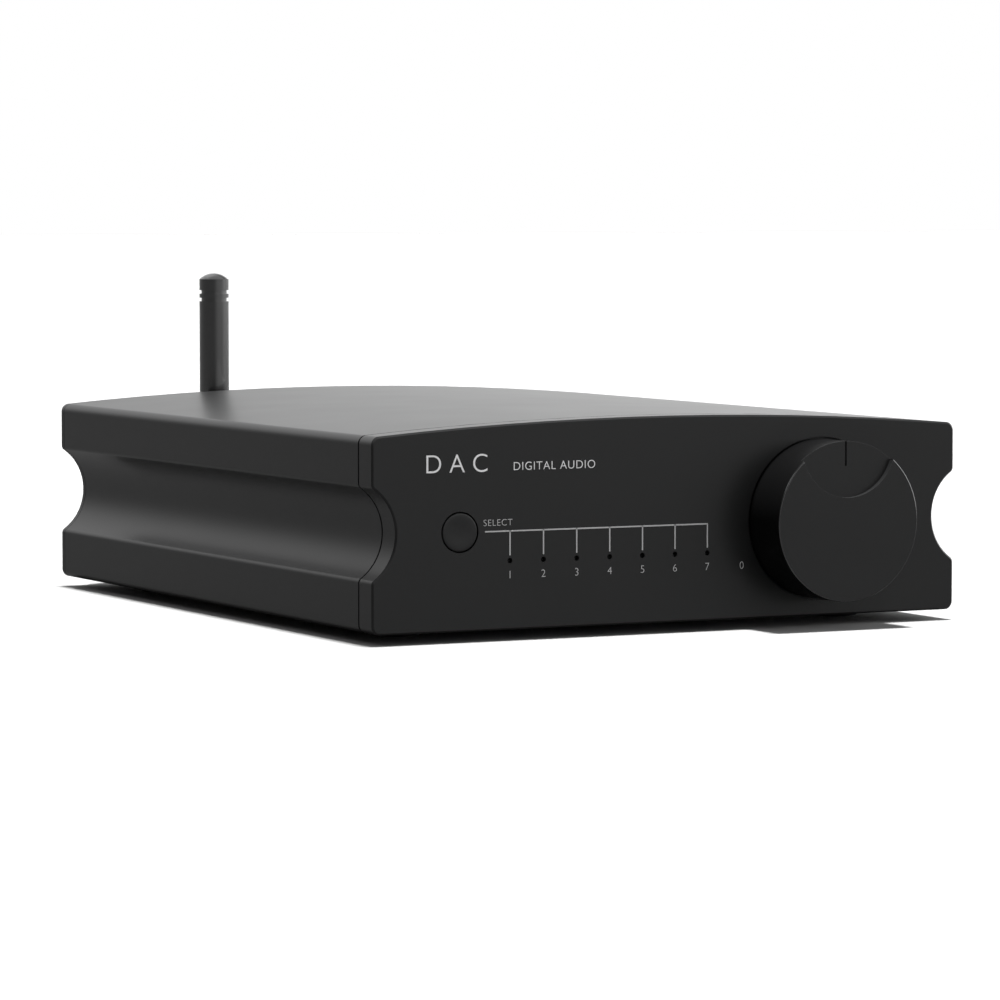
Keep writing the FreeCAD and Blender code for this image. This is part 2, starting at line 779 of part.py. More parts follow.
def input_button():
    stem_end = "plunger_y - front_y"
    cap = turned([
        ("0.1", "0"),
        ("0", "button_radius - 0.9"),
        ("0", "button_radius - 0.25"),
        ("0.25", "button_radius"),
        ("flange_y", "button_radius"),
        ("flange_y", "flange_radius"),
        ("flange_y + flange_thick", "flange_radius"),
        ("flange_y + flange_thick", "stem_radius"),
        (stem_end, "stem_radius"),
        (stem_end, "0"),
    ], ("button_x", "front_y", "button_z"))
    node("input_button", cap)
    case = block("button_x", "control_y - tact_depth", "button_z - tact_size / 2",
                 "tact_size", "tact_depth", "tact_size")
    well = rod("button_x", "control_y - tact_depth", "button_z",
               "plunger_radius + run_gap", "tact_depth - 1.0")
    node("tact_switch", cut(case, well))
    depth = "plunger_reach + tact_depth - 1.2 - button_travel"
    node("tact_plunger", rod("button_x", "plunger_y", "button_z", "plunger_radius", depth))


def indicator_lights():
    bar_start = "lamp_x - pipe_bar_past"
    bar_length = f"{lamp_count - 1} * lamp_pitch + 2 * pipe_bar_past"
    bar = block(f"{bar_start} + ({bar_length}) / 2", "seam_y", "lamp_z - pipe_bar_high / 2", bar_length,
                "pipe_bar", "pipe_bar_high")
    rods = [bar]
    lamps = []
    for x, z in lamp_centres():
        rods.append(rod(x, "front_y + pipe_recess", z, "pipe_radius", "face_thick - pipe_recess + 0.5"))
        rods.append(rod(x, "seam_y + pipe_bar / 2", z, "light_post", "control_gap - pipe_bar / 2 - 1.0"))
        lamps.append(block(x, "control_y - lamp_thick", f"{z} - lamp_thick / 2", "lamp_wide",
                           "lamp_thick", "lamp_thick"))
    node("light_pipe", fuse(*rods))
    node("indicator_lamps", together(*lamps))


def control_board():
    left, right = "(control_left - half_width)", "(half_width - control_right)"
    board = block(f"({left} + {right}) / 2", "control_y", "control_low", f"{right} - {left}",
                  "board_thick", "control_height")
    level = "control_low + control_height - spacer_edge"
    spots = [(f"{left} + spacer_flats / 2 + 0.1", level), ("lamp_x + 1.5 * lamp_pitch", level),
             ("lamp_x + 5.5 * lamp_pitch", level)]
    drills = [rod(x, "control_y", z, "screw_radius + fit_gap", "board_thick") for x, z in spots]
    node("control_board", cut(board, *drills))
    spacers = [cut(hexagon(x, "seam_y", z, "spacer_flats", "control_gap"),
                   rod(x, "seam_y + spacer_grip", z, "screw_radius + run_gap", "control_gap - spacer_grip"))
               for x, z in spots]
    node("board_spacers", together(*spacers))
    screws = [cut(fuse(rod(x, "control_y - spacer_grip", z, "screw_radius", "board_thick + spacer_grip"),
                       rod(x, "control_back", z, "head_radius", "head_height")),
                  hexagon(x, "control_back + head_height - key_deep", z, "key_flats", "key_deep"))
              for x, z in spots]
    node("spacer_screws", together(*screws))
    node("board_header", block("lamp_x + 3 * lamp_pitch", "control_back", "board_top", "22", "2.5", "5.0"))


# ---- rear connectors ----

def phono_jacks():
    shells = []
    contacts = []
    bodies = []
    for side, x in jacks.items():
        at = (x, "rear_y", "jack_z")
        back = "-rear_thick - rca_hold"
        shell = [(back, "rca_inner"), ("rca_reach", "rca_inner"), ("rca_reach", "rca_radius"),
                 ("rca_flange_thick", "rca_radius"), ("rca_flange_thick", "rca_flange"),
                 ("0", "rca_flange"), ("0", "rca_root"), (back, "rca_root")]
        shells.append(turned(shell, at))
        insulator = ring("rca_contact_long - rear_thick - rca_hold", "rca_reach - insulator_sink",
                         "pin_bore", "rca_inner")
        node(f"phono_{side}_insulator", turned(insulator, at))
        start = "rear_inner - rca_hold"
        tube = rod(x, start, "jack_z", "rca_contact", "rca_contact_long")
        contacts.append(cut(tube, rod(x, start, "jack_z", "pin_bore", "rca_contact_long")))
        case = block(x, "rear_inner - rca_body_depth", "board_top", "rca_body_width",
                     "rca_body_depth - body_gap", "jack_rise + rca_body_above")
        well = rod(x, start, "jack_z", "rca_root", "rca_hold")
        bodies.append(cut(case, well))
    node("phono_shells", together(*shells))
    node("phono_housings", together(*bodies))
    return contacts


def balanced_jacks():
    cases = []
    nuts = []
    tips = []
    for x in trs_places:
        case = block(x, "rear_inner - trs_depth", "board_top", "trs_width", "trs_depth - fit_gap",
                     "jack_rise + trs_height / 2")
        bushing = rod(x, "rear_inner - 1.0", "jack_z", "trs_thread", "rear_thick + trs_reach + 1.0")
        bore_from = "rear_inner - trs_depth + 2.0"
        well = rod(x, bore_from, "jack_z", "trs_bore", "trs_depth + rear_thick + trs_reach")
        tip = rod(x, "rear_inner - trs_depth + trs_tip_in", "jack_z", "trs_tip", "trs_tip_long")
        cases.append(cut(fuse(case, bushing), well, tip))
        nut = hexagon(x, "rear_y", "jack_z", "trs_nut_flats", "trs_nut_thick")
        nuts.append(cut(nut, rod(x, "rear_y", "jack_z", "trs_thread + run_gap", "trs_nut_thick")))
        tips.append(rod(x, "rear_inner - trs_depth + trs_tip_in", "jack_z", "trs_tip", "trs_tip_long"))
    node("balanced_jacks", together(*cases))
    node("balanced_nuts", together(*nuts))
    return tips


def usb_socket():
    front = "rear_y + 0.6 - usb_depth"
    low = "usb_z - usb_height / 2"
    shell = block("usb_x", front, low, "usb_width", "usb_depth", "usb_height")
    inner_wide, inner_high = "(usb_width - 2 * usb_skin)", "(usb_height - 2 * usb_skin)"
    room = block("usb_x", front, f"usb_z - {inner_high} / 2", inner_wide, "usb_depth", inner_high)
    node("usb_shell", cut(shell, room))
    body = block("usb_x", front, f"usb_z - {inner_high} / 2", inner_wide, "usb_depth - 0.6", inner_high)
    mouth = block("usb_x", f"{front} + 5.0", "usb_z - usb_mouth_height / 2", "usb_mouth_width", "usb_depth",
                  "usb_mouth_height")
    tongue = block("usb_x", f"{front} + 4.0", "usb_z - usb_tongue_height / 2", "usb_tongue_width",
                   "usb_depth - 6.5", "usb_tongue_height")
    node("usb_insert", fuse(cut(body, mouth), tongue))
    strips = []
    for x, z in ((-1.25, -1), (1.25, -1), (-1.25, 1), (1.25, 1)):
        level = "usb_z + usb_tongue_height / 2" if z > 0 else "usb_z - usb_tongue_height / 2 - 0.2"
        strips.append(block(f"usb_x + {x}", f"{front} + 5.0", level, "1.0", "usb_depth - 8.0", "0.2"))
    node("usb_contacts", together(*strips))


def optical_socket():
    face = "rear_y + 0.4"
    case_front = f"{face} - optical_depth"
    case = block("optical_x", case_front, "board_top", "optical_size", "optical_depth", "optical_size")
    mouth = block("optical_x", f"{face} - optical_depth + 3.0", "optical_z - optical_mouth / 2",
                  "optical_mouth", "optical_depth", "optical_mouth")
    pin_z = "optical_z + flap_z"
    pin_length = "optical_mouth + 1.0"
    pin_y = "rear_y - 0.6"
    pin_well = rod("optical_x - optical_mouth / 2 - 0.6", pin_y, pin_z, "flap_pin + run_gap",
                   "optical_mouth + 1.2", "X")
    node("optical_housing", cut(case, mouth, pin_well))
    flap_high = "optical_mouth / 2 + flap_z - fit_gap"
    flap = block("optical_x", f"{pin_y} - flap_thick / 2", f"{pin_z} - ({flap_high})",
                 "optical_mouth - 2 * fit_gap", "flap_thick", flap_high)
    barrel = rod("optical_x - optical_mouth / 2 + fit_gap", pin_y, pin_z, "flap_thick / 2",
                 "optical_mouth - 2 * fit_gap", "X")
    pin = rod(f"optical_x - ({pin_length}) / 2", pin_y, pin_z, "flap_pin", pin_length, "X")
    node("optical_flap", fuse(flap, barrel, pin))
    lens = cone("optical_x", f"{face} - optical_depth + 3.0", "optical_z", "1.5", "1.1", "1.4")
    node("optical_receiver", lens)


def power_inlet():
    at = ("power_x", "rear_y", "power_z")
    case = block("power_x", "rear_inner - barrel_depth - barrel_body_back", "board_top", "barrel_body_width",
                 "barrel_depth + barrel_body_back - body_gap", "barrel_body_high")
    barrel = rod("power_x", "rear_inner - overcut", "power_z", "barrel_radius",
                 "rear_thick + barrel_proud")
    mouth = rod("power_x", "rear_y - barrel_depth", "power_z", "barrel_mouth", "barrel_depth + 2.0")
    node("power_inlet", cut(fuse(case, barrel), mouth))
    node("power_inlet_pin", turned(ring("-barrel_depth", "-0.5", "0", "barrel_pin"), at))


def power_switch():
    pivot_y = "rear_y - rocker_sink"
    room_wide = "rocker_width + 2 * rocker_play"
    room_high = "2 * (rocker_swing + rocker_play)"
    case = block("rocker_x", "rear_inner - switch_depth", "jack_z - switch_half_height",
                 "2 * switch_half_width", "switch_depth + rear_thick", "2 * switch_half_height")
    bezel_half = "(switch_half_height + bezel_rim)"
    bezel = block("rocker_x", "rear_y", f"jack_z - {bezel_half}", "2 * (switch_half_width + bezel_rim)",
                  "bezel_thick", f"2 * {bezel_half}")
    room = block("rocker_x", f"{pivot_y} - rocker_room", f"jack_z - ({room_high}) / 2", room_wide,
                 "2 * rocker_room", room_high)
    pin_room = rod("rocker_x - rocker_width / 2 - 0.75", pivot_y, "jack_z", "rocker_pin + run_gap",
                   "rocker_width + 1.5", "X")
    node("switch_housing", cut(fuse(case, bezel), room, pin_room))
    body = doc.addObject("PartDesign::Body", "rocker")
    sketch = new_sketch(body, "profile", "YZ_Plane", "-rocker_width / 2")
    rise = f"{math.tan(math.radians(sizes['rocker_tilt']))} * 7.2"
    edge_y = f"(rocker_valley + {rise})"
    edge_z = f"sqrt(rocker_swing^2 - {edge_y}^2)"
    back_z = "sqrt(rocker_swing^2 - rocker_back^2)"
    draw_loop(sketch, [
        ("rocker_valley", "0"),
        (edge_y, edge_z),
        ("-rocker_back", back_z),
        ("-rocker_back", "-" + back_z),
        (edge_y, "-" + edge_z),
    ], {1: ("0", "0", False), 3: ("0", "0", False)})
    feature = body.newObject("PartDesign::Pad", "pad")
    feature.Profile = sketch
    bind(feature, Length="rocker_width")
    pin = rod("-rocker_width / 2 - rocker_pin_past", "0", "0", "rocker_pin",
              "rocker_width + 2 * rocker_pin_past", "X")
    rocker = fuse(body, pin)
    rocker.Placement.Rotation = Rotation(Vector(1, 0, 0), sizes["rocker_tilt"])
    node("power_rocker", bind(rocker, x="rocker_x", y=pivot_y, z="jack_z"))


# ---- antenna ----

def antenna_socket():
    jack = fuse(rod("antenna_x", "rear_inner - sma_hold", "antenna_z", "thread_radius",
                    "sma_hold + rear_thick + thread_reach"),
                hexagon("antenna_x", "rear_inner - 2.5", "antenna_z", "sma_nut_flats", "2.5"),
                rod("antenna_x", "lead_start", "antenna_z", "1.8", "2.5"))
    centre = rod("antenna_x", "rear_y + thread_reach - sma_centre_deep", "antenna_z", "sma_centre",
                 "sma_centre_deep + overcut")
    node("antenna_socket", cut(jack, centre))
    nut = hexagon("antenna_x", "rear_y", "antenna_z", "sma_nut_flats", "sma_nut_thick")
    node("antenna_nut", cut(nut, rod("antenna_x", "rear_y", "antenna_z", "thread_radius + run_gap",
                                     "sma_nut_thick")))


def antenna():
    at = ("antenna_x", "rear_y", "antenna_z")
    wall_start = "coupling_end - 0.8"
    coupling = turned([
        ("coupling_start", "thread_radius + run_gap"),
        (wall_start, "thread_radius + run_gap"),
        (wall_start, "neck_radius + run_gap"),
        ("coupling_end", "neck_radius + run_gap"),
        ("coupling_end", "coupling_radius - 0.8"),
        ("coupling_end - 0.8", "coupling_radius"),
        ("coupling_start + 0.4", "coupling_radius"),
        ("coupling_start", "coupling_radius - 0.4"),
    ], at)
    node("antenna_coupling", coupling)
    hinge_y = "rear_y + hinge_reach"
    throat = "hinge_reach - ear_radius - 0.2"
    neck = rod("antenna_x", f"rear_y + {wall_start} - 0.6", "antenna_z", "neck_radius", "2.0")
    collar = rod("antenna_x", f"rear_y + {wall_start} - 0.7", "antenna_z", "thread_radius - 0.25", "0.6")
    pin = rod("antenna_x", "rear_y + thread_reach - 2.5", "antenna_z", "0.45", "3.5")
    trunk = rod("antenna_x", "rear_y + coupling_end + 0.1", "antenna_z", "ear_radius",
                f"{throat} - coupling_end - 0.1")
    ears = fuse(block("antenna_x", f"rear_y + {throat} - 0.2", "antenna_z - ear_radius",
                      "2 * fork_half", "ear_radius + 0.4", "2 * ear_radius"),
                rod("antenna_x - fork_half", hinge_y, "antenna_z", "ear_radius", "2 * fork_half", "X"))
    slot = block("antenna_x", f"rear_y + {throat}", "antenna_z - ear_radius - 1.0",
                 "tongue_thick + 2 * run_gap", "3 * ear_radius", "2 * ear_radius + 2.0")
    bore = rod("antenna_x - fork_half", hinge_y, "antenna_z", "hinge_pin + run_gap", "2 * fork_half", "X")
    node("antenna_elbow", cut(fuse(neck, collar, pin, trunk, ears), slot, bore))
    node("antenna_hinge_pin", rod("antenna_x - fork_half", hinge_y, "antenna_z", "hinge_pin",
                                  "2 * fork_half", "X"))
    antenna_mast(hinge_y)


def antenna_mast(hinge_y):
    top = "mast_height"
    dome_z = "(mast_height - mast_dome)"
    dome_ball = "((mast_radius^2 + mast_dome^2) / (2 * mast_dome))"
    inner = "mast_radius - ring_depth"
    corners = [("0", "shoulder"), ("mast_radius - 0.5", "shoulder"), ("mast_radius", "shoulder + 0.5")]
    for ring_place in ("ring_second", "ring_first"):
        low, high = f"{top} - {ring_place} - ring_width / 2", f"{top} - {ring_place} + ring_width / 2"
        corners += [("mast_radius", low), (inner, low), (inner, high), ("mast_radius", high)]
    corners += [("mast_radius", dome_z), ("0", top)]
    body = doc.addObject("PartDesign::Body", "mast")
    sketch = new_sketch(body, "profile")
    draw_loop(sketch, corners, {len(corners) - 2: ("0", f"{top} - {dome_ball}", False)})
    feature = body.newObject("PartDesign::Revolution", "turn")
    feature.Profile = sketch
    feature.ReferenceAxis = (sketch, ["V_Axis"])
    feature.Angle = 360
    bind(body, x="antenna_x", y=hinge_y, z="antenna_z")
    tongue = fuse(block("antenna_x", f"{hinge_y} - ear_radius + 0.3", "antenna_z", "tongue_thick",
                        "2 * (ear_radius - 0.3)", "shoulder + 0.5"),
                  rod("antenna_x - tongue_thick / 2", hinge_y, "antenna_z", "ear_radius - 0.3",
                      "tongue_thick", "X"))
    bore = rod("antenna_x - tongue_thick", hinge_y, "antenna_z", "hinge_pin + run_gap",
               "2 * tongue_thick", "X")
    core_z = "antenna_z + shoulder + element_inset"
    core_long = "mast_height - shoulder - 2 * element_inset"
    core = rod("antenna_x", hinge_y, core_z, "element_radius + element_play", core_long, "Z")
    node("antenna_mast", cut(fuse(body, tongue), bore, core))
    node("antenna_element", rod("antenna_x", hinge_y, core_z, "element_radius",
                                f"{core_long} - 2 * element_play", "Z"))


def antenna_lead():
    """The coaxial lead: level out of the socket, one wide bend, then down to the radio module."""
    bend_y = "lead_start - lead_run"
    level = rod("antenna_x", bend_y, "antenna_z", "lead_radius", "lead_run")
    bend = doc.addObject("Part::Torus", "bend")
    bend.Placement.Rotation = Rotation(Vector(0, 0, 1), Vector(0, -1, 0), Vector(1, 0, 0), "XYZ")
    bend.Angle3 = 90
    bind(bend, Radius1="lead_bend", Radius2="lead_radius", x="antenna_x", y=bend_y, z="antenna_z - lead_bend")
    foot = "board_top + module_rise"
    drop = rod("antenna_x", "lead_y", foot, "lead_radius", f"antenna_z - lead_bend - ({foot})", "Z")
    node("antenna_lead", fuse(level, bend, drop))


# ---- main board ----

def main_board():
    board = block("0", "board_y", "board_z", "2 * board_half", "board_back - board_y", "board_thick")
    node("main_board", board)


def on_board(x, y, wide, deep, high):
    """A part that stands on the main board, y measured forward from the board's rear edge."""
    return block(x, f"board_back - {y} - ({deep}) / 2", "board_top", wide, deep, high)


def can(x, y, radius, high):
    """A round part that stands on the main board."""
    return rod(x, f"board_back - {y}", "board_top", radius, high, "Z")


def radio_module():
    carrier = block("antenna_x", "lead_y - 16.0", "board_top", "14.0", "20.0", "0.8")
    node("radio_module", carrier)
    cover = block("antenna_x", "lead_y - 15.0", "board_top + 0.8", "12.0", "12.0", "1.8")
    room = block("antenna_x", "lead_y - 14.7", "board_top + 0.8", "11.4", "11.4", "1.5")
    node("radio_shield", cut(cover, room))


def board_parts():
    """Circuit parts, as (x, distance forward from the board's rear edge, sizes)."""
    chips = [("usb_x", 40, 10, 10, 1.2), ("coax_x", 55, 9, 9, 1.2), ("trs_inner_x", 70, 9, 9, 1.2),
             ("optical_x", 70, 7, 7, 1.0)]
    node("converter_chips", together(*[on_board(*chip) for chip in chips]))
    clocks = [("usb_x", 55, 7, 5, 1.6), ("coax_x", 70, 7, 5, 1.6)]
    node("clock_crystals", together(*[on_board(*clock) for clock in clocks]))
    amplifiers = [(f"{x} + {step}", 52, 5, 4, 1.7) for x in trs_places for step in (-3.5, 3.5)]
    node("output_amplifiers", together(*[on_board(*chip) for chip in amplifiers]))
    relays = [(x, 38, 9.5, 15, 5.2) for x in trs_places]
    node("output_relays", together(*[on_board(*relay) for relay in relays]))
    films = [(f"{x} + {step}", 86, 7.2, 4.5, 9.5) for x in trs_places for step in (-3.8, 3.8)]
    node("film_capacitors", together(*[on_board(*film) for film in films]))
    tall = [("power_x", 32 + 13 * index, 5.0, 16.0) for index in range(4)]
    small = [("rca_left_x", 84 + 9 * index, 3.15, 11.0) for index in range(4)]
    node("filter_capacitors", together(*[can(*part) for part in tall + small]))
    coils = [("rocker_x", 52, 10, 10, 4.5), ("rocker_x", 66, 8, 8, 4)]
    node("supply_inductor", together(*[on_board(*coil) for coil in coils]))
    base = on_board("rocker_x", 88, 12, 22, 2.0)
    fins = [on_board(f"rocker_x + {step}", 88, 1.2, 22, 12.0) for step in (-5.4, -2.7, 0, 2.7, 5.4)]
    node("heat_sink", fuse(base, *fins))


def check_and_write():
    doc.recompute()
    for item in doc.Objects:
        if {"Invalid", "Error"} & set(item.State):
            raise RuntimeError(f"{item.Label}: {item.State}")
    for item in nodes:
        if item.Shape.isNull() or not item.Shape.isValid():
            raise RuntimeError(f"{item.Label}: bad shape")
    os.makedirs("parts", exist_ok=True)
    for item in nodes:
        item.Shape.exportStep(f"parts/{item.Label}.step")
    print(len(nodes), "sub-parts written")


fill_sheet()
body_sleeve()
front_panel()
front_subplate()
rear_panel()
case_screws()
feet()
volume_knob()
potentiometer()
input_button()
indicator_lights()
control_board()
node("jack_contacts", together(*phono_jacks(), *balanced_jacks()))
usb_socket()
optical_socket()
power_inlet()
power_switch()
antenna_socket()
antenna()
antenna_lead()
main_board()
radio_module()
board_parts()
check_and_write()
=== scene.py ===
import math

import bmesh
import bpy
from mathutils import Matrix, Vector


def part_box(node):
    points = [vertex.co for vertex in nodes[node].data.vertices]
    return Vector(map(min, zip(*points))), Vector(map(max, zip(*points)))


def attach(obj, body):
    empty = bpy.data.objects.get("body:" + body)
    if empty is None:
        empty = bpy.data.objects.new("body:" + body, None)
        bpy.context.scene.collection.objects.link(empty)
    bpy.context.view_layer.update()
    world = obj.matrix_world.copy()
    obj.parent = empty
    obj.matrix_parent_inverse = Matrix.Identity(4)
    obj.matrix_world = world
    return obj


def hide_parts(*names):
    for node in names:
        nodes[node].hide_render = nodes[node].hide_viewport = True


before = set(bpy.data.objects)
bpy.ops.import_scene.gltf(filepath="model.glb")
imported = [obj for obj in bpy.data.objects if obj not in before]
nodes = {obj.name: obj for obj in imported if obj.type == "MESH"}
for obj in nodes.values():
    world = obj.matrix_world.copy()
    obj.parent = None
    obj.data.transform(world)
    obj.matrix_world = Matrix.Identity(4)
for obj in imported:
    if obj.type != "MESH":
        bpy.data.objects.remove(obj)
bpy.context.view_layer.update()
mm = 0.001
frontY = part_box("front_panel")[0].y / mm
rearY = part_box("rear_panel")[1].y / mm
print("frame loaded:", len(nodes), "nodes")


# small helpers for node trees

def addNode(tree, kind, settings=None, inputs=None):
    made = tree.nodes.new(kind)
    for key, value in (settings or {}).items():
        setattr(made, key, value)
    for key, value in (inputs or {}).items():
        socket = made.inputs[key]
        if isinstance(value, bpy.types.NodeSocket):
            tree.links.new(value, socket)
        else:
            socket.default_value = value
    return made


def multiply(tree, first, second):
    return addNode(tree, "ShaderNodeMath", {"operation": "MULTIPLY"}, {0: first, 1: second}).outputs[0]


def newGroup(name, ins, outs):
    tree = bpy.data.node_groups.new(name, "ShaderNodeTree")
    for label, value in ins.items():
        socket = tree.interface.new_socket(name=label, in_out="INPUT", socket_type="NodeSocketFloat")
        socket.default_value = value
    for label in outs:
        tree.interface.new_socket(name=label, in_out="OUTPUT", socket_type="NodeSocketFloat")
    return tree, tree.nodes.new("NodeGroupInput"), tree.nodes.new("NodeGroupOutput")


# grain: fine blasted or moulded texture, and the slow change of tone under it
def makeGrainGroup():
    tree, given, result = newGroup("fineGrain", {"Grain Scale": 9000.0, "Mottle Scale": 40.0},
                                   ["Grain", "Mottle"])
    place = addNode(tree, "ShaderNodeTexCoord").outputs["Object"]
    fine = addNode(tree, "ShaderNodeTexNoise", None,
                   {"Vector": place, "Scale": given.outputs["Grain Scale"], "Detail": 3.0, "Roughness": 0.6})
    slow = addNode(tree, "ShaderNodeTexNoise", None,
                   {"Vector": place, "Scale": given.outputs["Mottle Scale"], "Detail": 4.0,
                    "Roughness": 0.55})
    tree.links.new(fine.outputs["Fac"], result.inputs["Grain"])
    tree.links.new(slow.outputs["Fac"], result.inputs["Mottle"])
    return tree


# wear: where two faces meet, broken up so that it isn't an even line
def makeWearGroup():
    tree, given, result = newGroup("edgeWear", {"Radius": 0.0003, "Amount": 1.0}, ["Mask"])
    flat = addNode(tree, "ShaderNodeNewGeometry").outputs["Normal"]
    soft = addNode(tree, "ShaderNodeBevel", {"samples": 4}, {"Radius": given.outputs["Radius"]})
    bend = addNode(tree, "ShaderNodeVectorMath", {"operation": "DOT_PRODUCT"},
                   {0: flat, 1: soft.outputs["Normal"]})
    edge = addNode(tree, "ShaderNodeMapRange", None,
                   {"Value": bend.outputs["Value"], "From Min": 0.995, "From Max": 0.86})
    place = addNode(tree, "ShaderNodeTexCoord").outputs["Object"]
    patchy = addNode(tree, "ShaderNodeTexNoise", None, {"Vector": place, "Scale": 420.0, "Detail": 3.0})
    broken = addNode(tree, "ShaderNodeMapRange", None,
                     {"Value": patchy.outputs["Fac"], "From Min": 0.35, "From Max": 0.75})
    both = multiply(tree, edge.outputs[0], broken.outputs[0])
    tree.links.new(multiply(tree, both, given.outputs["Amount"]), result.inputs["Mask"])
    return tree


# dust: a trace on faces that look up
def makeDustGroup():
    tree, given, result = newGroup("settledDust", {"Amount": 0.03}, ["Mask"])
    normal = addNode(tree, "ShaderNodeNewGeometry").outputs["Normal"]
    height = addNode(tree, "ShaderNodeSeparateXYZ", None, {"Vector": normal}).outputs["Z"]
    upward = addNode(tree, "ShaderNodeMapRange", None, {"Value": height, "From Min": 0.6, "From Max": 1.0})
    place = addNode(tree, "ShaderNodeTexCoord").outputs["Object"]
    specks = addNode(tree, "ShaderNodeTexNoise", None,
                     {"Vector": place, "Scale": 900.0, "Detail": 5.0, "Roughness": 0.7})
    thin = addNode(tree, "ShaderNodeMapRange", None,
                   {"Value": specks.outputs["Fac"], "From Min": 0.5, "From Max": 0.8})
    both = multiply(tree, upward.outputs[0], thin.outputs[0])
    tree.links.new(multiply(tree, both, given.outputs["Amount"]), result.inputs["Mask"])
    return tree


# lay: fine tool marks drawn out along the part's length
def makeLayGroup():
    tree, given, result = newGroup("toolLay", {"Across": 6000.0, "Along": 60.0}, ["Lay"])
    place = addNode(tree, "ShaderNodeTexCoord").outputs["Object"]
    across, along = given.outputs["Across"], given.outputs["Along"]
    stretch = addNode(tree, "ShaderNodeCombineXYZ", None, {"X": across, "Y": along, "Z": across})
    drawn = addNode(tree, "ShaderNodeVectorMath", {"operation": "MULTIPLY"},
                    {0: place, 1: stretch.outputs[0]})
    marks = addNode(tree, "ShaderNodeTexNoise", None,
                    {"Vector": drawn.outputs[0], "Scale": 1.0, "Detail": 2.0})
    tree.links.new(marks.outputs["Fac"], result.inputs["Lay"])
    return tree


grainGroup = makeGrainGroup()
wearGroup = makeWearGroup()
dustGroup = makeDustGroup()
layGroup = makeLayGroup()

